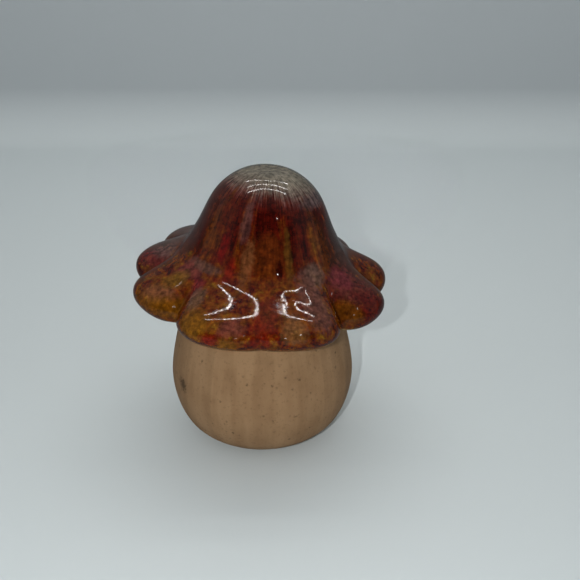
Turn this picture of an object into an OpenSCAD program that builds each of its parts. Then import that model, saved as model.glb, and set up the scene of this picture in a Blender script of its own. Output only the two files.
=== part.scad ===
// Ceramic mushroom ornament. A hollow bulb of bare clay is the stem. A hollow bell-shaped cap
// with a fluted skirt sits over the bulb's crown, joined to it by a ring of soft clay and glazed
// on its outside. Millimetres, +Z up, the front towards -Y.
// The origin is the centre of the flat foot.

/* [Bulb] */
// Width of the bulb at its widest
bulb_w = 52.8; // [50:0.2:55]
// Width of the flat foot that it stands on
foot_w = 31; // [26:1:36]
// Thickness of the bulb's wall
bulb_wall = 4.5; // [3.5:0.5:5.5]
// Width of the round vents through the foot and the crown
vent_w = 3; // [2:0.5:4]

/* [Cap] */
// Height of the cap's top above the foot, before the cap is tilted
cap_top = 79.5; // [78:0.5:84]
// Height of the skirt's rim above the foot
rim_z = 41.8; // [40:0.2:43]
// Width across the skirt, from lobe tip to lobe tip
skirt_w = 73.2; // [71:0.2:78]
// Thickness of the cap's clay
cap_wall = 3.6; // [3:0.2:4]
// Thickness of the cap's clay at its lip
lip_wall = 2; // [1.6:0.2:2]
// How far the folds of the skirt are pressed in, as a share of their full depth
fold_depth = 1; // [0.7:0.05:1]
// Lean of the cap to the right, in degrees
cap_tilt = 3.9; // [0:0.1:5]

/* [Glaze] */
// Thickness of the fired glaze
glaze_t = 0.5; // [0.3:0.05:0.6]

/* [Hidden] */

around = 72;            // points around the cap
cap_steps = 3;          // rings from one point of the cap's outline to the next
bulb_steps = 4;         // rings from one point of the bulb's outline to the next
bulb_facets = 144;      // smoothness of the turned bulb
overshoot = 1;          // how far a vent's cutter reaches past the wall

bulb_r = bulb_w / 2;
foot_r = foot_w / 2;
skirt_r = skirt_w / 2;
cap_h = cap_top - rim_z;
bulb_h = rim_z + 0.46 * cap_h;
vent_off = 0.6 * foot_r;

// Outline of the bulb from the edge of the foot to the crown. The stem's own width rules it below
// the rim, and the cap's width rules the crown, so that the crown keeps its place inside the cap.
crown_r = 0.45 * skirt_r;
bulb_outline = [
    [foot_r, 0],
    [0.88 * bulb_r, 0.155 * rim_z],
    [bulb_r, 0.43 * rim_z],
    [0.92 * bulb_r, 0.76 * rim_z],
    [0.8 * bulb_r, rim_z],
    [crown_r, rim_z + 0.2 * cap_h],
    [0.72 * crown_r, rim_z + 0.34 * cap_h],
    [0.36 * crown_r, rim_z + 0.43 * cap_h],
    [0, bulb_h]
];

// Outlines of the glazed cap from its top to its rim, along the crest of a lobe and along a fold.
// Each point is a share of the skirt's radius and a share of the cap's height.
crest_shape = [
    [0, 1], [0.2, 0.98], [0.385, 0.83], [0.525, 0.55], [0.64, 0.39],
    [0.93, 0.25], [1, 0.15], [0.935, 0.05], [0.805, 0]
];
fold_shape = [
    [0, 1], [0.2, 0.98], [0.385, 0.83], [0.525, 0.55], [0.64, 0.375],
    [0.72, 0.175], [0.76, 0.11], [0.77, 0.055], [0.76, 0]
];

// Where the folds lie around the cap, in degrees from the front towards the right, and how deep
// each one is. The one at the front is shallow.
fold_az = [1, 45, 84, 119, 165, 208, 242, 276, 317];
fold_cut = [0.17, 1, 0.65, 0.9, 0.8, 0.65, 0.3, 0.6, 0.68];
// How far the lobe after each fold reaches out, as a share of the skirt's radius
lobe_reach = [1.01, 0.98, 0.98, 0.975, 1, 1.045, 1.005, 1.015, 1.055];
fold_round = 0.2;       // how rounded the bottom of a fold is
lobe_full = 0.5;        // below 1 the lobes are fuller
lobe_start = 0.6;       // share of the skirt's radius from which a lobe's reach tells

glaze_stop = 1;         // rings of bare clay left at the rim
thin_from = 3 * cap_steps;  // ring at which the cap's clay starts to thin towards the lip
thin_to = 5 * cap_steps;    // ring from which it is as thin as the lip
lip_angles = [45, 90, 135];

// The clay ring lies on these rings of the cap's inner face and of the bulb's crown.
ring_on_cap = [10, 11, 12];
ring_on_bulb = [21, 22, 23, 24];

function mix(a, b, t) = a + (b - a) * t;
function ease(t) = t * t * (3 - 2 * t);

// A point of the curve that runs through b and c, with a before them and d after them
function curve_point(a, b, c, d, t) =
    0.5 * (2 * b + (c - a) * t + (2 * a - 5 * b + 4 * c - d) * t * t
        + (3 * b - a - 3 * c + d) * t * t * t);

// A curve through all the points. The point named before sets how it leaves the first one.
function curve(pts, before, steps) =
    let (
        last = len(pts) - 1,
        all = concat([before], pts, [2 * pts[last] - pts[last - 1]])
    )
    concat(
        [for (i = [0 : last - 1], s = [0 : steps - 1])
            curve_point(all[i], all[i + 1], all[i + 2], all[i + 3], s / steps)],
        [pts[last]]
    );

function mirrored(p) = [-p[0], p[1]];
function unit(v) = v / norm(v);

// Direction of a cap outline at its point i, and the direction from there into the clay
function along(line, i) =
    let (
        before = i == 0 ? mirrored(line[1]) : line[i - 1],
        after = i == len(line) - 1 ? line[i] : line[i + 1]
    )
    unit(after - before);
function inward(line, i) = let (t = along(line, i)) [t[1], -t[0]];
function inset(line, depths) = [for (i = [0 : len(line) - 1]) line[i] + depths[i] * inward(line, i)];

// The outlines, sampled, and the depth of each surface under the glaze's face at each ring
function sized(shape) = [for (p = shape) [p[0] * skirt_r, rim_z + p[1] * cap_h]];
function cap_curve(shape) =
    let (pts = sized(shape))
    curve(pts, mirrored(pts[1]), cap_steps);

crest_line = cap_curve(crest_shape);
fold_line = cap_curve(fold_shape);
rings = len(crest_line) - 1;
glaze_end = rings - glaze_stop;

glaze_face = [for (i = [0 : rings]) glaze_t * ease(min(1, max(0, (i - glaze_end + 2) / 2)))];
clay_face = [for (i = [0 : rings]) glaze_t];
inner_face = [for (i = [0 : rings])
    glaze_t + mix(cap_wall, lip_wall, ease(min(1, max(0, (i - thin_from) / (thin_to - thin_from)))))];

// The rounded lip, from the clay's outer face to its inner one
function lip(line) =
    let (
        a = inset(line, clay_face)[rings],
        b = inset(line, inner_face)[rings],
        t = along(line, rings)
    )
    [for (angle = lip_angles) mix(a, b, 0.5) + (a - b) / 2 * cos(angle) + t * norm(a - b) / 2 * sin(angle)];

function reversed(list) = [for (i = [len(list) - 1 : -1 : 0]) list[i]];
function part_of(list, first, last) = [for (i = [first : last]) list[i]];

// What the skirt does in a direction: how far it stands out between fold and crest, from 0 to 1,
// and by how much its lobe is stretched outward
function lobe(az) =
    let (
        k = max([for (i = [0 : len(fold_az) - 1]) if (az >= fold_az[i]) i]),
        next = (k + 1) % len(fold_az),
        end = fold_az[next] + (next == 0 ? 360 : 0),
        u = (az - fold_az[k]) / (end - fold_az[k]),
        s = sin(180 * u),
        soft = (sqrt(s * s + fold_round * fold_round) - fold_round)
            / (sqrt(1 + fold_round * fold_round) - fold_round),
        full = pow(max(0, soft), lobe_full),
        cut = fold_depth * mix(fold_cut[k], fold_cut[next], ease(u))
    )
    [1 - cut * (1 - full), (lobe_reach[k] - 1) * full];

directions = [for (i = [0 : around - 1]) fold_az[0] + 360 * i / around];
lobes = [for (az = directions) lobe(az)];

// A point at a distance from an upright axis in a direction, and the same on the leaning cap,
// which tips about the middle of its rim
function turned(p, az) = [p[0] * sin(az), -p[0] * cos(az), p[1]];
function leaning(p) =
    let (x = p[0], z = p[2] - rim_z)
    [x * cos(cap_tilt) + z * sin(cap_tilt), p[1], rim_z + z * cos(cap_tilt) - x * sin(cap_tilt)];

// A point of the cap between its fold outline and its crest outline, and a ring of such points
function cap_point(p, stretch, az) =
    let (flare = max(0, p[0] / skirt_r - lobe_start) / (1 - lobe_start))
    leaning(turned([p[0] * (1 + stretch * flare), p[1]], az));
function cap_ring(crest, fold, i) =
    [for (n = [0 : around - 1])
        cap_point(mix(fold[i], crest[i], lobes[n][0]), lobes[n][1], directions[n])];
function cap_rings(crest, fold, first, last) = [for (i = [first : last]) each cap_ring(crest, fold, i)];

// Faces of a closed skin made of whole rings of points, with a single point at each end. The
// rings go down its outside, then up its inside after the turn. Each four-cornered patch is
// split the same way on both sides, so that two skins which share points meet without a gap.
function fan(pole, start, flip) =
    [for (n = [0 : around - 1])
        let (a = start + n, b = start + (n + 1) % around)
        flip ? [pole, a, b] : [pole, b, a]];
function band(start, next, up) =
    [for (n = [0 : around - 1])
        let (m = (n + 1) % around)
        each up
            ? [[start + n, start + m, next + n], [start + m, next + m, next + n]]
            : [[start + n, next + m, next + n], [start + n, start + m, next + m]]];
function skin_faces(count, turn) =
    concat(
        fan(0, 1, false),
        [for (k = [0 : count - 2]) each band(1 + k * around, 1 + (k + 1) * around, k >= turn)],
        fan(1 + count * around, 1 + (count - 1) * around, true)
    );

// A closed skin from two outlines that start and end on the cap's axis and turn back at a ring
module cap_skin(crest, fold, turn) {
    last = len(crest) - 1;
    points = concat(
        [leaning(turned(crest[0], 0))],
        cap_rings(crest, fold, 1, last - 1),
        [leaning(turned(crest[last], 0))]
    );
    polyhedron(points, skin_faces(last - 1, turn));
}

function clay_outline(line) =
    concat(inset(line, clay_face), lip(line), reversed(inset(line, inner_face)));
function glaze_outline(line) =
    concat(
        part_of(inset(line, glaze_face), 0, glaze_end),
        reversed(part_of(inset(line, clay_face), 0, glaze_end - 1))
    );

bulb_curve = curve(bulb_outline, [0.7 * foot_r, -0.06 * rim_z], bulb_steps);

// The bulb's outline, or the same outline drawn smaller for the hollow inside it
module bulb_solid(wall) {
    rotate_extrude($fn = bulb_facets)
        polygon(concat(
            [[0, wall]],
            [for (p = bulb_curve)
                [p[0] * (bulb_r - wall) / bulb_r, wall + p[1] * (bulb_h - 2 * wall) / bulb_h]]
        ));
}

module vent() {
    cylinder(d = vent_w, h = bulb_wall + 2 * overshoot, $fn = 48);
}

// The stem: a closed bulb of bare clay, vented so that its air can leave in the kiln
module bulb() {
    color("tan")
        difference() {
            bulb_solid(0);
            bulb_solid(bulb_wall);
            translate([0, vent_off, -overshoot]) vent();
            translate([0, 0, bulb_h - bulb_wall - overshoot]) vent();
        }
}

// The ring of soft clay between the bulb's crown and the inside of the cap
module lute_ring() {
    crest = inset(crest_line, inner_face);
    fold = inset(fold_line, inner_face);
    on_cap = [for (i = ring_on_cap) each cap_ring(crest, fold, i)];
    on_bulb = [for (i = ring_on_bulb) each [for (az = directions) turned(bulb_curve[i], az)]];
    count = len(ring_on_cap) + len(ring_on_bulb);
    color("burlywood")
        polyhedron(
            concat(on_cap, on_bulb),
            [for (k = [0 : count - 1])
                each band(k * around, (k + 1) % count * around, k >= len(ring_on_cap))]
        );
}

// The cap's clay: a bell whose skirt swells into lobes between its folds
module cap() {
    color("peru")
        cap_skin(clay_outline(crest_line), clay_outline(fold_line), rings);
}

// The glaze over the outside of the cap, which stops just short of the lip
module cap_glaze() {
    color("firebrick")
        cap_skin(glaze_outline(crest_line), glaze_outline(fold_line), glaze_end - 1);
}

bulb();
lute_ring();
cap();
cap_glaze();
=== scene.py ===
import math
from functools import partial

import bmesh
import bpy
from bpy.props import FloatProperty, FloatVectorProperty, PointerProperty
from mathutils import Matrix, Vector


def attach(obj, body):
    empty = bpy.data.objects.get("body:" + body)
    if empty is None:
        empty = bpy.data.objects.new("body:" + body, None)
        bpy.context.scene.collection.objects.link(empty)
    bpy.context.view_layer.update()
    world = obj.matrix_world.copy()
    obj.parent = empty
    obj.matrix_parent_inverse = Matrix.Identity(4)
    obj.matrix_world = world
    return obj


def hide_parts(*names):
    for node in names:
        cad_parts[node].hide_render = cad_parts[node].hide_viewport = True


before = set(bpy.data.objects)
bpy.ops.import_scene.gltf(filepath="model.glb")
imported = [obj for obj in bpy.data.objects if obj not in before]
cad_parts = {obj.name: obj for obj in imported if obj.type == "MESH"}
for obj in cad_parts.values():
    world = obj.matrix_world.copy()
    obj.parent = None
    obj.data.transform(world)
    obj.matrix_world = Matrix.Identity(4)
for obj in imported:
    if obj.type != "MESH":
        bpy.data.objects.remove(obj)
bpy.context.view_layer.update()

bl_info = {
    "name": "Ceramic Mushroom Ornament",
    "version": (1, 0, 0),
    "blender": (4, 5, 0),
    "location": "3D View > Sidebar > Mushroom",
    "description": "Builds a bare clay bulb under a glazed, wavy-skirted cap, in a light tent",
    "category": "Add Mesh",
}

MM = 0.001

# Outlines of the glazed cap from its top to its rim, along the crest of a lobe and along a fold.
# Each point is a share of the skirt's radius and a share of the cap's height.
CREST_SHAPE = [
    (0, 1), (0.2, 0.98), (0.385, 0.83), (0.525, 0.55), (0.64, 0.39),
    (0.93, 0.25), (1, 0.15), (0.935, 0.05), (0.805, 0),
]
FOLD_SHAPE = [
    (0, 1), (0.2, 0.98), (0.385, 0.83), (0.525, 0.55), (0.64, 0.375),
    (0.72, 0.175), (0.76, 0.11), (0.77, 0.055), (0.76, 0),
]
# Folds of the skirt, in degrees from the front towards the right, how deep each one is, and how
# far the lobe after it reaches out
FOLD_AZ = [1, 45, 84, 119, 165, 208, 242, 276, 317]
FOLD_CUT = [0.17, 1, 0.65, 0.9, 0.8, 0.65, 0.3, 0.6, 0.68]
LOBE_REACH = [1.01, 0.98, 0.98, 0.975, 1, 1.045, 1.005, 1.015, 1.055]
FOLD_ROUND = 0.2    # how rounded the bottom of a fold is
LOBE_FULL = 0.5     # below 1 the lobes are fuller
LOBE_START = 0.6    # share of the skirt's radius from which a lobe's reach tells
THIN_FROM = 3       # outline point at which the cap's clay starts to thin towards the lip
THIN_TO = 5         # outline point from which it is as thin as the lip

AROUND = 288        # points around the cap and the bulb
CAP_STEPS = 9       # rings from one point of the cap's outline to the next
BULB_STEPS = 12     # rings from one point of the bulb's outline to the next
LIP_STEPS = 9       # rings around the rounded lip
FLOOR_STEPS = 6     # rings from the middle of the foot to its edge
BEND_STEPS = 24     # edges round the bend of the card
VENT_SIDES = 48     # points around the vent in the foot
VENT_OFF = 0.6      # how far back that vent is, as a share of the foot's radius
GLAZE_STOP = 3      # rings of bare clay left at the rim
GLAZE_THIN = 6      # rings over which the glaze thins out before it stops
SAFE = 0.2 * MM     # by how much the smooth cap stays inside the CAD solid's furthest points

# Sizes in mm of the marks in the clay: the blade's facets and lines, the sponge's clouds, grog
# specks, and the spacing of the pits and of the groups that they lie in
FACET, SCRAPE, SPONGED, SPECK, PIT_GAP, PIT_GROUP = 8, 3, 9, 0.8, 2.2, 5
# Sizes in mm of the marks in the glaze: runs, hair-thin runs, clouds, crystals, flecks, and the
# waves of its face
RUN, HAIR, CLOUD, CRYSTAL, FLECK, WAVE = 2.4, 0.5, 2.6, 0.9, 1.4, 2.2
# Marks that run from top to bottom are drawn on an upright drum, sized by its radius in mm.
# Height is squeezed to 0.12 on it, so they come out eight times as long as they are wide.
SCRAPE_DRUM = (26, 26, 26)
RUN_DRUM = (15, 15, 15)
DRAWN_OUT = (0, 0, 0.12)
SMUDGE = (-21.8, 21.5)      # how far right and how high, in mm, the iron smudge is on the bulb

# Small bumps and dents that the glaze set with. Each is an azimuth in degrees from the front
# towards the right, and a distance from the cap's axis, a height and a spread in mm.
GLAZE_TOUCHES = [
    (20.8, 27.7, -0.14, 1.25), (13.9, 26.3, 0.15, 1.4), (28.6, 26.5, 0.23, 1.7),
    (3.9, 32.4, -0.17, 3.4), (-48, 30, 0.5, 1.2),
]

# Places where the glaze has its own colour. Each is an azimuth in degrees from the front towards
# the right, a height in mm above the rim, a half width in degrees, a half height in mm, a colour
# and how strongly it covers what lies under it.
GLAZE_PATCHES = [
    (-66, 29, 26, 4, "#44221a", 0.6),           # dusky left shoulder
    (-50, 24, 9, 5, "#522808", 0.75),           # amber run on the left of the dome
    (3, 21, 13, 5, "#4e2208", 0.6),             # amber below the deep red
    (19, 21, 3, 6, "#4c3410", 0.6),             # olive run beside it
    (-12, 19.5, 5, 5, "#5e381e", 0.7),          # tan run
    (-18, 28.5, 5, 5, "#4a2c28", 0.8),          # milky run in front
    (5, 31, 12, 4, "#340502", 0.95),            # deep red below the frost
    (12, 18, 2.5, 2, "#240301", 0.9),           # dark drop
    (-44, 28, 6, 4, "#421004", 0.7),            # red run under the frost, on the left
    (-33, 21.5, 3.5, 3.5, "#560604", 0.9),      # bright red run
    (-23, 16.5, 4, 2.6, "#5c1006", 0.85),       # its foot
    (70, 31.8, 26, 1.6, "#4a3c3c", 0.8),        # violet streaks, on the right
    (46, 29, 16, 2.2, "#240806", 0.6),          # dark edge under them
    (54, 22, 9, 6, "#42260e", 0.55),            # brown run on the right of the dome
    (80, 21, 15, 7, "#382622", 0.7),            # dusky right side
    (-78, 21, 14, 7, "#40241e", 0.65),          # dusky left side
    (75, 16, 16, 4, "#3c2620", 0.7),            # dull violet neck on the right
    (37, 16, 8, 2.6, "#58443a", 0.7),           # milky shoulder right of the front
    (-51, 14.4, 9, 2, "#5a2824", 0.85),         # pink in the fold left of the front
    (-42, 15.8, 13, 1.1, "#543c30", 0.6),       # its milky edge
    (-39, 11.9, 5, 1.6, "#641a1c", 0.85),       # its red heart
    (-33, 11, 5, 1.6, "#58402e", 0.7),
    (-90, 10, 12, 2.4, "#541c1c", 0.85),        # maroon lobe on the left
    (-100, 12.4, 20, 2, "#54403c", 0.7),
    (-53, 8.8, 7, 1.8, "#684026", 0.7),         # pale brown on the left front lobe
    (-53, 12, 5, 1.6, "#5c4010", 0.7),
    (-50, 6, 12, 2.4, "#603a06", 0.75),
    (-26, 7.4, 7, 3, "#6a4408", 0.8),           # gold at the bottom of the front lobe
    (-13.5, 4.5, 5, 2, "#6a4208", 0.85),
    (-18.5, 5.6, 3.4, 1.8, "#66100a", 0.85),    # red between the gold
    (-11, 8.3, 5, 1.8, "#623226", 0.7),
    (1, 6.8, 5, 4, "#5c1006", 0.8),             # red in the front fold
    (4, 10.5, 4, 2.4, "#521c0e", 0.75),
    (14.5, 8, 5, 2.6, "#6a4828", 0.65),
    (28, 12, 7, 4.6, "#54342c", 0.8),           # milky fold right of the front
    (58, 12, 15, 3.6, "#4a1e1a", 0.85),         # pink crest of the right front lobe
    (56, 13.8, 8, 1.8, "#64242c", 0.6),
    (60, 7.2, 9, 3.6, "#440c08", 0.85),
    (49.5, 6.6, 4, 2.6, "#4e2a06", 0.8),
    (-130, 12, 14, 4, "#54403c", 0.7),
    (-152, 7, 12, 4, "#603a06", 0.7),
    (-170, 11, 9, 4, "#5c2826", 0.7),
    (160, 8, 12, 4, "#5c1410", 0.7),
    (132, 12, 14, 4, "#5c3c34", 0.7),
    (110, 7, 10, 4, "#663c08", 0.75),
    (-140, 22, 10, 6, "#522808", 0.7),
    (150, 24, 14, 6, "#560604", 0.7),
    (110, 25, 10, 6, "#4a2c28", 0.6),
]

# The tent's roof and its three strips of diodes: height of the roof, the strips' left and right
# ends and width, their places from front to back, and the spacing of the diodes, in metres
ROOF, STRIP_LEFT, STRIP_RIGHT, STRIP_WIDTH = 0.25, -0.088, 0.112, 0.0024
STRIP_PLACES = (0, 0.038, 0.094)
DIODE_GAP = 0.012
# Small lamps, each with its name, place in metres, power in watts, radius in metres, and whether
# the gloss shows it: the flash beside the lens and two lamps in the room
SMALL_LAMPS = (
    ("flash", (-0.013, -0.2157, 0.152), 1.05, 0.002, False),
    ("room_lamp", (0.222, -0.447, 0.419), 0.14, 0.006, True),
    ("far_lamp", (0.046, -0.314, 0.136), 0.04, 0.007, True),
)


def srgb(value):
    """A hex sRGB colour as linear red, green, blue and alpha."""
    channels = [int(value[i:i + 2], 16) / 255 for i in (1, 3, 5)]
    linear = [c / 12.92 if c <= 0.04045 else ((c + 0.055) / 1.055) ** 2.4 for c in channels]
    return (*linear, 1.0)


class MushroomSizes(bpy.types.PropertyGroup):
    """Real sizes of the ornament"""
    cap_top: FloatProperty(
        name="Cap top", description="Height of the cap's top above the foot, before it leans",
        default=79.5 * MM, unit="LENGTH")
    rim_height: FloatProperty(
        name="Rim height", description="Height of the skirt's rim above the foot",
        default=41.8 * MM, unit="LENGTH")
    skirt_width: FloatProperty(
        name="Skirt width", description="Width across the skirt, from lobe tip to lobe tip",
        default=73.2 * MM, unit="LENGTH")
    cap_wall: FloatProperty(
        name="Cap wall", description="Thickness of the cap's clay",
        default=3.6 * MM, unit="LENGTH")
    lip_wall: FloatProperty(
        name="Lip wall", description="Thickness of the cap's clay at its lip",
        default=2 * MM, unit="LENGTH")
    cap_lean: FloatProperty(
        name="Cap lean", description="Lean of the cap to the right",
        default=math.radians(3.9), unit="ROTATION")
    glaze_depth: FloatProperty(
        name="Glaze depth", description="Thickness of the fired glaze",
        default=0.5 * MM, unit="LENGTH")
    bulb_width: FloatProperty(
        name="Bulb width", description="Width of the bulb at its widest",
        default=52.8 * MM, unit="LENGTH")
    foot_width: FloatProperty(
        name="Foot width", description="Width of the flat foot",
        default=31 * MM, unit="LENGTH")
    bulb_wall: FloatProperty(
        name="Bulb wall", description="Thickness of the bulb's clay",
        default=4.5 * MM, unit="LENGTH")
    vent_width: FloatProperty(
        name="Vent width", description="Width of the vents through the foot and the crown",
        default=3 * MM, unit="LENGTH")


class MushroomColours(bpy.types.PropertyGroup):
    """Main colours of the clay, the glaze and the card"""
    clay: FloatVectorProperty(
        name="Clay", description="Bare buff clay of the bulb", subtype="COLOR", size=4,
        default=srgb("#967757"), min=0, max=1)
    slip: FloatVectorProperty(
        name="Slip", description="Soft clay pressed into the joint", subtype="COLOR", size=4,
        default=srgb("#a3825e"), min=0, max=1)
    red: FloatVectorProperty(
        name="Glaze red", description="Deep red that the glaze shows where it lies thick",
        subtype="COLOR", size=4, default=srgb("#380602"), min=0, max=1)
    amber: FloatVectorProperty(
        name="Glaze amber", description="Amber that runs through the red",
        subtype="COLOR", size=4, default=srgb("#5a2806"), min=0, max=1)
    haze: FloatVectorProperty(
        name="Glaze haze", description="Dusty mauve film where the glaze has gone milky",
        subtype="COLOR", size=4, default=srgb("#543834"), min=0, max=1)
    frost: FloatVectorProperty(
        name="Glaze frost", description="Pale grey-green bloom on the top of the cap",
        subtype="COLOR", size=4, default=srgb("#6c665a"), min=0, max=1)
    sheet: FloatVectorProperty(
        name="Sheet", description="Card that the ornament stands on", subtype="COLOR", size=4,
        default=srgb("#d2dadb"), min=0, max=1)


def mix(a, b, t):
    """The value a share t of the way from a to b."""
    return a + (b - a) * t


def ease(t):
    """A share from 0 to 1 that starts and ends softly."""
    t = min(1.0, max(0.0, t))
    return t * t * (3 - 2 * t)


def smooth_curve(points, before, steps):
    """A curve through all the points. The point named before sets how it leaves the first one."""
    held = [Vector(before), *map(Vector, points), 2 * Vector(points[-1]) - Vector(points[-2])]
    curve = []
    for a, b, c, d in zip(held, held[1:], held[2:], held[3:]):
        for step in range(steps):
            t = step / steps
            curve.append(0.5 * (
                2 * b + (c - a) * t + (2 * a - 5 * b + 4 * c - d) * t ** 2
                + (3 * b - a - 3 * c + d) * t ** 3))
    curve.append(Vector(points[-1]))
    return curve


def inset(line, depths):
    """The cap outline moved into the clay by a depth at each of its points."""
    moved = []
    for i, point in enumerate(line):
        before = Vector((-line[1].x, line[1].y)) if i == 0 else line[i - 1]
        after = line[min(i + 1, len(line) - 1)]
        along = (after - before).normalized()
        moved.append(point + depths[i] * Vector((along.y, -along.x)))
    return moved


def lip(outer, inner):
    """The rounded lip between the end of an outer outline and the end of an inner one."""
    a, b = outer[-1], inner[-1]
    along = (outer[-1] - outer[-2]).normalized()
    middle, half = (a + b) / 2, (a - b) / 2
    angles = [math.pi * (k + 1) / (LIP_STEPS + 1) for k in range(LIP_STEPS)]
    return [middle + half * math.cos(t) + along * half.length * math.sin(t) for t in angles]


def lobe(az):
    """How far the skirt stands out between fold and crest in a direction, and its stretch."""
    k = max(i for i, fold in enumerate(FOLD_AZ) if az >= fold)
    after = (k + 1) % len(FOLD_AZ)
    end = FOLD_AZ[after] + (360 if after == 0 else 0)
    share = (az - FOLD_AZ[k]) / (end - FOLD_AZ[k])
    s = math.sin(math.pi * share)
    soft = (math.hypot(s, FOLD_ROUND) - FOLD_ROUND) / (math.hypot(1, FOLD_ROUND) - FOLD_ROUND)
    full = max(0.0, soft) ** LOBE_FULL
    cut = mix(FOLD_CUT[k], FOLD_CUT[after], ease(share))
    return 1 - cut * (1 - full), (LOBE_REACH[k] - 1) * full


class CapShape:
    """The cap's outlines, and the way from an outline point and a direction to a place."""

    def __init__(self, sizes):
        self.sizes = sizes
        self.radius = sizes.skirt_width / 2
        self.rim = sizes.rim_height
        self.height = sizes.cap_top - sizes.rim_height
        self.crest = self.outline(CREST_SHAPE)
        self.fold = self.outline(FOLD_SHAPE)
        self.last = len(self.crest) - 1
        self.lobes = {}
        up = Matrix.Translation((0, 0, self.rim))
        self.lean = up @ Matrix.Rotation(sizes.cap_lean, 4, "Y") @ up.inverted()

    def outline(self, shape):
        """A smooth outline, in metres, through the points of a crest or a fold."""
        points = [(r * self.radius, self.rim + z * self.height) for r, z in shape]
        return smooth_curve(points, (-points[1][0], points[1][1]), CAP_STEPS)

    def surface(self, depth):
        """Crest and fold outlines at a depth under the glaze's face, which varies by ring."""
        depths = [depth(ring) for ring in range(self.last + 1)]
        return list(zip(inset(self.crest, depths), inset(self.fold, depths)))

    def clay_face(self):
        """The outside of the cap's clay, under the glaze."""
        return self.surface(lambda ring: self.sizes.glaze_depth)

    def inner_face(self):
        """The inside of the cap, where the clay thins towards the lip."""
        start, stop = THIN_FROM * CAP_STEPS, THIN_TO * CAP_STEPS
        return self.surface(lambda ring: self.sizes.glaze_depth + mix(
            self.sizes.cap_wall, self.sizes.lip_wall, ease((ring - start) / (stop - start))))

    def place(self, crest, fold, az):
        """The place in a direction of a point that the crest and fold outlines share."""
        if az not in self.lobes:
            self.lobes[az] = lobe(az)
        out, stretch = self.lobes[az]
        r, z = mix(fold, crest, out)
        flare = max(0.0, r / self.radius - LOBE_START) / (1 - LOBE_START)
        r += (r * stretch - SAFE) * flare
        z -= SAFE * (z - self.rim) / self.height
        angle = math.radians(az)
        return self.lean @ Vector((r * math.sin(angle), -r * math.cos(angle), z))


def ring_cone(count):
    """A closed round skin, a point at each end, where a point's height is its ring's number."""
    bm = bmesh.new()
    line = [bm.verts.new((0, -1 if 0 < k < count - 1 else 0, k)) for k in range(count)]
    edges = [bm.edges.new(pair) for pair in zip(line, line[1:])]
    bmesh.ops.spin(
        bm, geom=line + edges, cent=(0, 0, 0), axis=(0, 0, 1), angle=2 * math.pi,
        steps=AROUND, use_merge=True)
    bmesh.ops.remove_doubles(bm, verts=bm.verts, dist=1e-5)
    return bm


def shape_skin(bm, rings, place):
    """Moves each point of a ring cone to its place, from its ring and its direction."""
    first = FOLD_AZ[0]
    for vert in bm.verts:
        az = math.degrees(math.atan2(vert.co.x, -vert.co.y))
        az = round(first + (az - first) % 360, 3)
        vert.co = place(*rings[round(vert.co.z)], az)
    bmesh.ops.recalc_face_normals(bm, faces=bm.faces)


def new_piece(name, bm, material, node):
    """A smooth piece from a bmesh, which stands for a CAD node and rides on its body."""
    mesh = bpy.data.meshes.new(name)
    bm.to_mesh(mesh)
    bm.free()
    mesh.materials.append(material)
    mesh.shade_smooth()
    piece = bpy.data.objects.new(name, mesh)
    bpy.context.scene.collection.objects.link(piece)
    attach(piece, "root")
    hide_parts(node)
    return piece


def new_material(name):
    """An empty node material, and the way to add nodes to it."""
    material = bpy.data.materials.new(name)
    material.use_nodes = True
    material.node_tree.nodes.clear()
    return material, partial(add, material.node_tree)


def add(tree, kind, inputs=None, out=0, stops=(), **settings):
    """Adds a shader node with its settings, fills or links its inputs, and gives an output.

    The stops are those of a colour ramp, each a place and a colour.
    """
    made = tree.nodes.new("ShaderNode" + kind)
    for key, value in settings.items():
        setattr(made, key, value)
    for key, value in (inputs or {}).items():
        if isinstance(value, bpy.types.NodeSocket):
            tree.links.new(value, made.inputs[key])
        else:
            made.inputs[key].default_value = value
    for k, (place, colour) in enumerate(stops):
        elements = made.color_ramp.elements
        element = elements[k] if k < 2 else elements.new(place)
        element.position, element.color = place, colour
    return made.outputs[out] if made.outputs else made


def place_mm(a, sizes, on_cap):
    """Object coordinates in mm. On the cap they count up from its rim, along its own axis."""
    frame_of = {"Vector": a("TexCoord", out="Object"), "Scale": (MM, MM, MM)}
    if on_cap:
        frame_of["Location"] = (0, 0, sizes.rim_height)
        frame_of["Rotation"] = (0, sizes.cap_lean, 0)
    return a("Mapping", frame_of, vector_type="TEXTURE")


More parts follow.
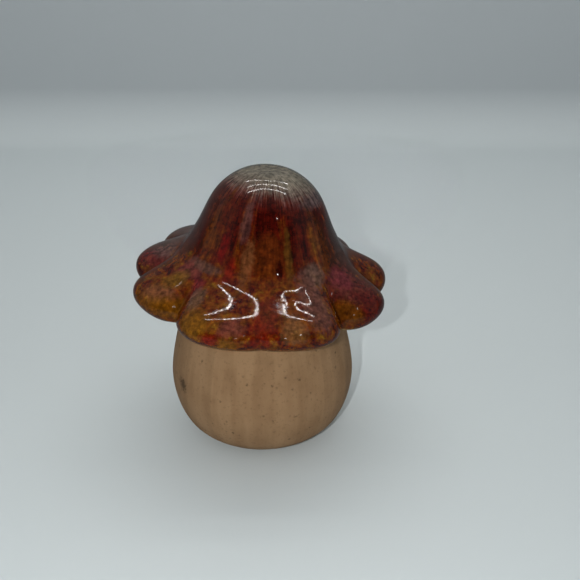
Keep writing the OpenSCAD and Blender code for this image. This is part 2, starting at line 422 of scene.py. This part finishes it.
def bare_clay(sizes, colours):
    """Bisque-fired buff stoneware, scraped down and sponged: dry, with grog and fine pits."""
    material, a = new_material("buff_stoneware_bisque")
    place = place_mm(a, sizes, on_cap=False)
    x = a("SeparateXYZ", {"Vector": place}, out="X")
    y, height = x.node.outputs["Y"], x.node.outputs["Z"]
    # A blade scraped the wall from top to bottom and left long soft facets
    level = a("VectorMath", {0: place, 1: (1, 1, 0)}, operation="MULTIPLY")
    drum = a("VectorMath", {0: level}, operation="NORMALIZE")
    fall = a("VectorMath", {0: place, 1: DRAWN_OUT}, operation="MULTIPLY")
    scrape_place = a("VectorMath", {0: drum, 1: SCRAPE_DRUM, 2: fall}, operation="MULTIPLY_ADD")
    facets = a("TexVoronoi", {"Vector": scrape_place, "Scale": 1 / FACET}, feature="F1")
    scraped = a("TexNoise", {"Vector": scrape_place, "Scale": 1 / SCRAPE, "Detail": 4.0})
    # Broad clouds, where the sponge left the surface smoother or rougher
    clouds = a("TexNoise", {"Vector": place, "Scale": 1 / SPONGED, "Detail": 4.0})
    shade = a("Math", {0: clouds, 1: scraped}, operation="ADD")
    shade = a("MapRange", {"Value": shade, "From Min": 0.8, "From Max": 1.2})
    colour = a("Mix", {0: shade, 6: srgb("#86684a"), 7: colours.clay}, out=2, data_type="RGBA")
    # Grog and iron specks
    specks = a("TexNoise", {
        "Vector": place, "Scale": 1 / SPECK, "Detail": 3.0, "Roughness": 0.6})
    speck = a("MapRange", {"Value": specks, "From Min": 0.56, "From Max": 0.72, "To Max": 0.6})
    colour = a("Mix", {0: speck, 6: colour, 7: srgb("#6e543a")}, out=2, data_type="RGBA")
    # Pits, half a millimetre to a millimetre across, ragged and scattered in groups
    ragged = a("VectorMath", {0: specks, 1: (1.2, 1.2, 1.2), 2: place}, operation="MULTIPLY_ADD")
    cells = a("TexVoronoi", {"Vector": ragged, "Scale": 1 / PIT_GAP})
    hole = a("MapRange", {"Value": cells, "From Min": 0.22, "From Max": 0.1})
    groups = a("TexNoise", {"Vector": place, "Scale": 1 / PIT_GROUP, "Detail": 2.0})
    group = a("MapRange", {"Value": groups, "From Min": 0.5, "From Max": 0.62, "To Max": 0.7})
    pit = a("Math", {0: hole, 1: group}, operation="MULTIPLY")
    # A smudge of iron on the left, on the front half alone
    smudge_x = a("Math", {0: x, 1: SMUDGE[0]}, operation="SUBTRACT")
    smudge_z = a("Math", {0: height, 1: SMUDGE[1]}, operation="SUBTRACT")
    smudge = a("CombineXYZ", {"X": smudge_x, "Y": smudge_z})
    smudge = a("VectorMath", {0: smudge, 1: (0.9, 0.45, 0)}, operation="MULTIPLY")
    smudge = a("VectorMath", {0: smudge}, out="Value", operation="LENGTH")
    smudge = a("Math", {0: specks, 1: 3.0, 2: smudge}, operation="MULTIPLY_ADD")
    smudge = a("MapRange", {"Value": smudge, "From Min": 2.6, "From Max": 1.9, "To Max": 0.9})
    front = a("Math", {0: y, 1: 0.0}, operation="LESS_THAN")
    smudge = a("Math", {0: smudge, 1: front}, operation="MULTIPLY")
    # The pits are painted dark, as painted shade inside them; the iron smudge takes the same dark
    # colour
    dark = a("Math", {0: pit, 1: smudge}, operation="MAXIMUM")
    colour = a("Mix", {0: dark, 6: colour, 7: srgb("#4c3a28")}, out=2, data_type="RGBA")
    # Relief, in mm
    relief = a("Math", {0: facets, 1: 0.7}, operation="MULTIPLY")
    relief = a("Math", {0: scraped, 1: 0.15, 2: relief}, operation="MULTIPLY_ADD")
    relief = a("Math", {0: specks, 1: -0.04, 2: relief}, operation="MULTIPLY_ADD")
    relief = a("Math", {0: pit, 1: -0.1, 2: relief}, operation="MULTIPLY_ADD")
    relief = a("Bump", {"Height": relief, "Distance": MM, "Strength": 1.0})
    shader = a("BsdfPrincipled", {
        "Base Color": colour, "Roughness": 0.8, "Specular IOR Level": 0.25, "Normal": relief})
    a("OutputMaterial", {"Surface": shader})
    return material


def joint_slip(sizes, colours):
    """Slip of the same clay, pressed into the joint by hand and left rough."""
    material, a = new_material("joining_slip_bisque")
    place = place_mm(a, sizes, on_cap=False)
    lumps = a("TexNoise", {"Vector": place, "Scale": 1 / 2.5, "Detail": 4.0})
    colour = a("Mix", {0: lumps, 6: colours.slip, 7: srgb("#8f6c48")}, out=2, data_type="RGBA")
    relief = a("Bump", {"Height": lumps, "Distance": 0.4 * MM, "Strength": 0.8})
    shader = a("BsdfPrincipled", {"Base Color": colour, "Roughness": 0.9, "Normal": relief})
    a("OutputMaterial", {"Surface": shader})
    return material


def reactive_glaze(sizes, colours):
    """Reactive glaze fired to a gloss: red and amber runs, milky haze, and a frosted top."""
    material, a = new_material("reactive_red_amber_glaze")
    place = place_mm(a, sizes, on_cap=True)
    x = a("SeparateXYZ", {"Vector": place}, out="X")
    y, height = x.node.outputs["Y"], x.node.outputs["Z"]
    front = a("Math", {0: y, 1: -1.0}, operation="MULTIPLY")
    azimuth = a("Math", {0: x, 1: front}, operation="ARCTAN2")
    azimuth = a("Math", {0: azimuth}, operation="DEGREES")

    # The glaze ran down as it melted, in runs that follow the cap down
    level = a("VectorMath", {0: place, 1: (1, 1, 0)}, operation="MULTIPLY")
    drum = a("VectorMath", {0: level}, operation="NORMALIZE")
    fall = a("VectorMath", {0: place, 1: DRAWN_OUT}, operation="MULTIPLY")
    run_place = a("VectorMath", {0: drum, 1: RUN_DRUM, 2: fall}, operation="MULTIPLY_ADD")
    runs = a("TexNoise", {
        "Vector": run_place, "Scale": 1 / RUN, "Detail": 4.0, "Distortion": 0.4})
    hairs = a("TexNoise", {"Vector": run_place, "Scale": 1 / HAIR, "Detail": 3.0})
    # Crystals that grew in the glass as it cooled, and the clouds that they make
    clouds = a("TexNoise", {
        "Vector": place, "Scale": 1 / CLOUD, "Detail": 5.0, "Roughness": 0.7, "Distortion": 0.3})
    crystals = a("TexNoise", {
        "Vector": place, "Scale": 1 / CRYSTAL, "Detail": 4.0, "Roughness": 0.7})

    broken = a("Math", {0: clouds, 1: 0.5, 2: -0.25}, operation="MULTIPLY_ADD")
    broken = a("Math", {0: runs, 1: broken}, operation="ADD")
    dome = a("ValToRGB", {"Fac": broken}, stops=[
        (0.3, srgb("#160201")), (0.84, srgb("#66400f")), (0.42, colours.red),
        (0.54, srgb("#451205")), (0.66, colours.amber)])
    skirt = a("ValToRGB", {"Fac": clouds}, stops=[
        (0.34, srgb("#240402")), (0.7, srgb("#725010")), (0.43, srgb("#4a1204")),
        (0.5, srgb("#582606")), (0.6, srgb("#5e3206"))])
    # The runs break up into mottled glaze where the skirt spreads
    spread = a("Math", {0: runs, 1: 12.0, 2: height}, operation="MULTIPLY_ADD")
    low = a("MapRange", {"Value": spread, "From Min": 26.0, "From Max": 18.0},
            interpolation_type="SMOOTHSTEP")
    colour = a("Mix", {0: low, 6: dome, 7: skirt}, out=2, data_type="RGBA")

    # Frost: zinc crystals on the top, which trail down further behind and on the right
    trail = a("Math", {0: x, 1: 0.12, 2: height}, operation="MULTIPLY_ADD")
    trail = a("Math", {0: y, 1: 0.15, 2: trail}, operation="MULTIPLY_ADD")
    trail = a("Math", {0: hairs, 1: 7.0, 2: trail}, operation="MULTIPLY_ADD")
    frost = a("MapRange", {
        "Value": trail, "From Min": 33.5, "From Max": 38.0, "To Max": 0.95},
        interpolation_type="SMOOTHSTEP")
    pale = a("MapRange", {"Value": trail, "From Min": 35.5, "From Max": 40.0})
    pale = a("Mix", {0: pale, 6: colours.haze, 7: colours.frost}, out=2, data_type="RGBA")
    colour = a("Mix", {0: frost, 6: colour, 7: pale}, out=2, data_type="RGBA")

    # Patches of their own colour, with ragged edges
    ragged = a("Math", {0: clouds, 1: 0.9, 2: -0.45}, operation="MULTIPLY_ADD")
    ragged = a("Math", {0: crystals, 1: ragged}, operation="ADD")
    ragged = a("Math", {0: hairs, 1: 0.8, 2: ragged}, operation="MULTIPLY_ADD")
    flat_place = a("CombineXYZ", {"X": azimuth, "Y": height})
    for az, z, wide, tall, shade, cover in GLAZE_PATCHES:
        offset = a("VectorMath", {0: flat_place, 1: (-az, -z, 0)}, operation="ADD")
        offset = a("VectorMath", {0: offset, 1: (1 / wide, 1 / tall, 0)}, operation="MULTIPLY")
        reach = a("VectorMath", {0: offset}, out="Value", operation="LENGTH")
        reach = a("Math", {0: reach, 1: ragged}, operation="ADD")
        patch = a("MapRange", {
            "Value": reach, "From Min": 2.3, "From Max": 1.5, "To Max": cover},
            interpolation_type="SMOOTHSTEP")
        colour = a("Mix", {0: patch, 6: colour, 7: srgb(shade)}, out=2, data_type="RGBA")

    # Flecks, hair-thin runs and crystals lighten and darken everything
    flecks = a("TexNoise", {
        "Vector": place, "Scale": 1 / FLECK, "Detail": 3.0, "Roughness": 0.6})
    fleck = a("MapRange", {
        "Value": flecks, "From Min": 0.35, "From Max": 0.65, "To Min": 0.55, "To Max": 1.4})
    grain = a("Mix", {0: low, 2: hairs, 3: crystals})
    sparkle = a("MapRange", {
        "Value": grain, "From Min": 0.3, "From Max": 0.7, "To Min": 0.65, "To Max": 1.4})
    colour = a("VectorMath", {0: colour, 1: sparkle}, operation="MULTIPLY")
    colour = a("VectorMath", {0: colour, 1: fleck}, operation="MULTIPLY")

    # The glaze is so thin along its lower edge that the clay shows through it; the pale band
    # there is also a painted highlight on an edge that lies in shade
    edge = a("Math", {0: crystals, 1: 1.6, 2: height}, operation="MULTIPLY_ADD")
    edge = a("MapRange", {"Value": edge, "From Min": 3.1, "From Max": 2.3, "To Max": 0.9})
    colour = a("Mix", {0: edge, 6: colour, 7: srgb("#8c7c58")}, out=2, data_type="RGBA")

    # Its face is glassy, with a faint swell
    waves = a("TexNoise", {"Vector": place, "Scale": 1 / WAVE, "Detail": 3.0})
    relief = a("Bump", {"Height": waves, "Distance": 0.03 * MM, "Strength": 0.6})
    shader = a("BsdfPrincipled", {
        "Base Color": colour, "Roughness": 0.06, "IOR": 1.46, "Normal": relief})
    a("OutputMaterial", {"Surface": shader})
    return material


def white_card(colours):
    """Matte white card, which takes a soft shadow and shows only faintly in the gloss; its
    upright part behind is painted darker, as painted shade.
    """
    material, a = new_material("matte_white_card")
    place = a("TexCoord", out="Object")
    height = a("SeparateXYZ", {"Vector": place}, out="Z")
    # Painted shade: the card is darker where it bends up behind the ornament
    wall = a("MapRange", {"Value": height, "From Min": 0.0, "From Max": 0.03})
    colour = a("Mix", {0: wall, 6: colours.sheet, 7: srgb("#b9bfc2")}, out=2, data_type="RGBA")
    in_gloss = a("LightPath", out="Is Glossy Ray")
    colour = a("Mix", {0: in_gloss, 6: colour, 7: srgb("#6e7476")}, out=2, data_type="RGBA")
    shader = a("BsdfPrincipled", {"Base Color": colour, "Roughness": 0.9})
    a("OutputMaterial", {"Surface": shader})
    return material


def lamp_strip():
    """A row of small diodes, seen in gloss as a dotted line."""
    material, a = new_material("diode_strip")
    place = a("TexCoord", out="Object")
    x = a("SeparateXYZ", {"Vector": place}, out="X")
    beat = a("Math", {0: x, 1: DIODE_GAP / 2}, operation="PINGPONG")
    lit = a("MapRange", {
        "Value": beat, "From Min": DIODE_GAP / 6, "From Max": DIODE_GAP / 3})
    power = a("Math", {0: lit, 1: 45.0, 2: 8.0}, operation="MULTIPLY_ADD")
    shader = a("Emission", {"Color": (1.0, 0.98, 0.96, 1.0), "Strength": power})
    a("OutputMaterial", {"Surface": shader})
    return material


class MUSHROOM_OT_bulb(bpy.types.Operator):
    """Turn the hollow bulb of bare clay that is the stem"""
    bl_idname = "mushroom.bulb"
    bl_label = "Clay Bulb"

    def execute(self, context):
        sizes = context.scene.mushroom_sizes
        rim, cap_h = sizes.rim_height, sizes.cap_top - sizes.rim_height
        bulb_r, foot_r = sizes.bulb_width / 2, sizes.foot_width / 2
        crown_r, crown_z = 0.45 * sizes.skirt_width / 2, rim + 0.46 * cap_h
        outer = smooth_curve(
            [(foot_r, 0), (0.88 * bulb_r, 0.155 * rim), (bulb_r, 0.43 * rim),
             (0.92 * bulb_r, 0.76 * rim), (0.8 * bulb_r, rim), (crown_r, rim + 0.2 * cap_h),
             (0.72 * crown_r, rim + 0.34 * cap_h), (0.36 * crown_r, rim + 0.43 * cap_h),
             (0, crown_z)],
            (0.7 * foot_r, -0.06 * rim), BULB_STEPS)
        wall, vent_r = sizes.bulb_wall, sizes.vent_width / 2
        smaller = Matrix.Diagonal(((bulb_r - wall) / bulb_r, (crown_z - 2 * wall) / crown_z))
        inner = [smaller @ p + Vector((0, wall)) for p in outer]
        crown = [p for p in outer if p.x > vent_r]
        hollow = [p for p in inner if p.x > vent_r]
        foot = [Vector((foot_r * k / FLOOR_STEPS, 0)) for k in range(FLOOR_STEPS)]
        floor = [Vector((inner[0].x * k / FLOOR_STEPS, wall)) for k in range(FLOOR_STEPS)]
        vent = [Vector((vent_r, crown[-1].y)), Vector((vent_r, hollow[-1].y))]
        line = foot + crown + vent + hollow[::-1] + floor[::-1]

        def turned(point, az):
            angle = math.radians(az)
            return Vector((point.x * math.sin(angle), -point.x * math.cos(angle), point.y))

        bm = ring_cone(len(line))
        shape_skin(bm, [(p,) for p in line], turned)
        material = bare_clay(sizes, context.scene.mushroom_colours)
        bulb = new_piece("clay_bulb", bm, material, "bulb")
        self.pierce_foot(context, bulb, sizes)
        return {"FINISHED"}

    @staticmethod
    def pierce_foot(context, bulb, sizes):
        """Cuts the round vent through the foot, behind its centre."""
        bm = bmesh.new()
        bmesh.ops.create_cone(
            bm, cap_ends=True, segments=VENT_SIDES, radius1=sizes.vent_width / 2,
            radius2=sizes.vent_width / 2, depth=3 * sizes.bulb_wall,
            matrix=Matrix.Translation((0, VENT_OFF * sizes.foot_width / 2, 0)))
        mesh = bpy.data.meshes.new("vent_cutter")
        bm.to_mesh(mesh)
        bm.free()
        cutter = bpy.data.objects.new("vent_cutter", mesh)
        context.scene.collection.objects.link(cutter)
        pierce = bulb.modifiers.new("foot_vent", "BOOLEAN")
        pierce.object = cutter
        pierce.operation = "DIFFERENCE"
        pierce.solver = "EXACT"
        with context.temp_override(object=bulb, active_object=bulb):
            bpy.ops.object.modifier_apply(modifier=pierce.name)
        bpy.data.objects.remove(cutter)


class MUSHROOM_OT_cap(bpy.types.Operator):
    """Build the clay bell of the cap, with its lobes, folds and rounded lip"""
    bl_idname = "mushroom.cap"
    bl_label = "Clay Cap"

    def execute(self, context):
        sizes = context.scene.mushroom_sizes
        shape = CapShape(sizes)
        outer, inner = shape.clay_face(), shape.inner_face()
        rounded = zip(*(lip(*lines) for lines in zip(zip(*outer), zip(*inner))))
        rings = outer + list(rounded) + inner[::-1]
        bm = ring_cone(len(rings))
        shape_skin(bm, rings, shape.place)
        material = bare_clay(sizes, context.scene.mushroom_colours)
        new_piece("clay_cap", bm, material, "cap")
        return {"FINISHED"}


class MUSHROOM_OT_glaze(bpy.types.Operator):
    """Build the coat of glaze over the outside of the cap"""
    bl_idname = "mushroom.glaze"
    bl_label = "Glaze Coat"

    def execute(self, context):
        sizes = context.scene.mushroom_sizes
        shape = CapShape(sizes)
        end = shape.last - GLAZE_STOP
        face = shape.surface(
            lambda ring: sizes.glaze_depth * ease((ring - end + GLAZE_THIN) / GLAZE_THIN))
        rings = face[:end + 1] + shape.clay_face()[:end][::-1]
        bm = ring_cone(len(rings))
        outer = [vert for vert in bm.verts if vert.co.z < end]
        shape_skin(bm, rings, shape.place)
        self.touch(outer, shape)
        material = reactive_glaze(sizes, context.scene.mushroom_colours)
        new_piece("cap_glaze_coat", bm, material, "cap_glaze")
        return {"FINISHED"}

    @staticmethod
    def touch(verts, shape):
        """Raises and dents the outer face of the glaze a little, along the cap's own axis."""
        upright = shape.lean.inverted()
        for vert in verts:
            own = (upright @ vert.co) / MM
            rise = 0
            for az, out, height, spread in GLAZE_TOUCHES:
                angle = math.radians(az)
                far = math.hypot(own.x - out * math.sin(angle), own.y + out * math.cos(angle))
                rise += height * math.exp(-(far / spread) ** 2 / 2)
            own.z += rise
            vert.co = shape.lean @ (own * MM)


class MUSHROOM_OT_joint(bpy.types.Operator):
    """Finish the ring of soft clay between the bulb's crown and the cap"""
    bl_idname = "mushroom.joint"
    bl_label = "Clay Joint"

    def execute(self, context):
        scene = context.scene
        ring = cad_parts["lute_ring"]
        ring.data.materials.clear()
        ring.data.materials.append(joint_slip(scene.mushroom_sizes, scene.mushroom_colours))
        return {"FINISHED"}


class MUSHROOM_OT_stage(bpy.types.Operator):
    """Set the white card, the lamps of the light tent and the camera"""
    bl_idname = "mushroom.stage"
    bl_label = "Light Tent"

    def execute(self, context):
        scene = context.scene
        self.card(scene)
        self.lamps(scene)
        self.world(scene)
        self.camera(scene)
        scene.view_settings.view_transform = "Standard"
        return {"FINISHED"}

    @staticmethod
    def card(scene):
        """A card that lies flat under the ornament and bends up behind it."""
        half_width, front, bend_start, bend_r, top = 1.5, -0.9, 0.27, 0.03, 0.3
        turns = [math.pi / 2 * k / BEND_STEPS for k in range(1, BEND_STEPS + 1)]
        bend = [(bend_start + bend_r * math.sin(t), bend_r * (1 - math.cos(t))) for t in turns]
        bm = bmesh.new()
        line = [bm.verts.new((-half_width, y, z)) for y, z in [
            (front, 0), (bend_start, 0), *bend, (bend_start + bend_r, top)]]
        edges = [bm.edges.new(pair) for pair in zip(line, line[1:])]
        made = bmesh.ops.extrude_edge_only(bm, edges=edges)
        moved = [item for item in made["geom"] if isinstance(item, bmesh.types.BMVert)]
        bmesh.ops.translate(bm, verts=moved, vec=(2 * half_width, 0, 0))
        bmesh.ops.recalc_face_normals(bm, faces=bm.faces)
        mesh = bpy.data.meshes.new("card")
        bm.to_mesh(mesh)
        bm.free()
        mesh.materials.append(white_card(scene.mushroom_colours))
        mesh.shade_smooth()
        card = bpy.data.objects.new("card", mesh)
        scene.collection.objects.link(card)

    @staticmethod
    def lamps(scene):
        """Strips of diodes in the roof, the small lamps, and the glow of the roof's back."""
        material = lamp_strip()
        face_down = Matrix.Rotation(math.pi, 3, "X")
        for k, y in enumerate(STRIP_PLACES):
            bm = bmesh.new()
            bmesh.ops.create_grid(bm, x_segments=1, y_segments=1, size=0.5)
            bmesh.ops.rotate(bm, verts=bm.verts, cent=(0, 0, 0), matrix=face_down)
            bmesh.ops.scale(bm, verts=bm.verts, vec=(STRIP_RIGHT - STRIP_LEFT, STRIP_WIDTH, 1))
            middle = (STRIP_LEFT + STRIP_RIGHT) / 2
            bmesh.ops.translate(bm, verts=bm.verts, vec=(middle, y, ROOF))
            mesh = bpy.data.meshes.new(f"strip_{k}")
            bm.to_mesh(mesh)
            bm.free()
            mesh.materials.append(material)
            strip = bpy.data.objects.new(mesh.name, mesh)
            scene.collection.objects.link(strip)
        for name, place, power, radius, in_gloss in SMALL_LAMPS:
            light = bpy.data.lights.new(name, "POINT")
            light.energy = power
            light.shadow_soft_size = radius
            lamp = bpy.data.objects.new(name, light)
            lamp.location = place
            lamp.visible_glossy = in_gloss
            scene.collection.objects.link(lamp)
        light = bpy.data.lights.new("roof_glow", "AREA")
        light.shape = "RECTANGLE"
        light.size = 0.8
        light.size_y = 0.12
        light.energy = 0.25
        glow = bpy.data.objects.new("roof_glow", light)
        glow.location = (0, 0.24, 0.27)
        glow.visible_glossy = False
        scene.collection.objects.link(glow)

    @staticmethod
    def world(scene):
        """The tent's cloth, which lights from all sides and shows only faintly in the gloss."""
        world = bpy.data.worlds.new("tent")
        world.use_nodes = True
        world.node_tree.nodes.clear()
        a = partial(add, world.node_tree)
        way = a("TexCoord", out="Generated")
        front = a("VectorMath", {0: way, 1: (0, -1, 0)}, out="Value", operation="DOT_PRODUCT")
        seen = a("MapRange", {
            "Value": front, "From Min": 0.75, "From Max": 0.35, "To Min": 0.02, "To Max": 0.15},
            interpolation_type="SMOOTHSTEP")
        in_gloss = a("LightPath", out="Is Glossy Ray")
        cloth = a("Mix", {0: in_gloss, 2: 0.37, 3: seen})
        shader = a("Background", {"Color": (0.96, 0.99, 1.0, 1.0), "Strength": cloth})
        a("OutputWorld", {"Surface": shader})
        scene.world = world

    @staticmethod
    def camera(scene):
        """Looks down at the middle of the ornament, at the photograph's angle and distance."""
        elevation, distance, focal_px, frame_px = math.radians(26.7), 0.2414, 852, 580
        target = Vector((0.0081, 0, 0.0437))
        back = Vector((0, -math.cos(elevation), math.sin(elevation)))
        data = bpy.data.cameras.new("camera")
        data.lens = focal_px / frame_px * data.sensor_width
        data.clip_start = 0.01
        camera = bpy.data.objects.new("camera", data)
        camera.location = target + distance * back
        camera.rotation_euler = (math.pi / 2 - elevation, 0, 0)
        scene.collection.objects.link(camera)
        scene.camera = camera


class MUSHROOM_PT_panel(bpy.types.Panel):
    """Sizes, colours and pieces of the mushroom"""
    bl_idname = "MUSHROOM_PT_panel"
    bl_label = "Ceramic Mushroom"
    bl_space_type = "VIEW_3D"
    bl_region_type = "UI"
    bl_category = "Mushroom"

    def draw(self, context):
        column = self.layout.column()
        for group in (context.scene.mushroom_sizes, context.scene.mushroom_colours):
            for name in group.__annotations__:
                column.prop(group, name)
        for operator in OPERATORS:
            column.operator(operator.bl_idname)


OPERATORS = (
    MUSHROOM_OT_stage, MUSHROOM_OT_bulb, MUSHROOM_OT_joint, MUSHROOM_OT_cap, MUSHROOM_OT_glaze)
CLASSES = (MushroomSizes, MushroomColours, *OPERATORS, MUSHROOM_PT_panel)


def register():
    for each in CLASSES:
        bpy.utils.register_class(each)
    bpy.types.Scene.mushroom_sizes = PointerProperty(type=MushroomSizes)
    bpy.types.Scene.mushroom_colours = PointerProperty(type=MushroomColours)


def unregister():
    del bpy.types.Scene.mushroom_colours
    del bpy.types.Scene.mushroom_sizes
    for each in reversed(CLASSES):
        bpy.utils.unregister_class(each)


def main():
    register()
    bpy.ops.mushroom.stage()
    bpy.ops.mushroom.bulb()
    bpy.ops.mushroom.joint()
    bpy.ops.mushroom.cap()
    bpy.ops.mushroom.glaze()


if __name__ == "__main__":
    main()
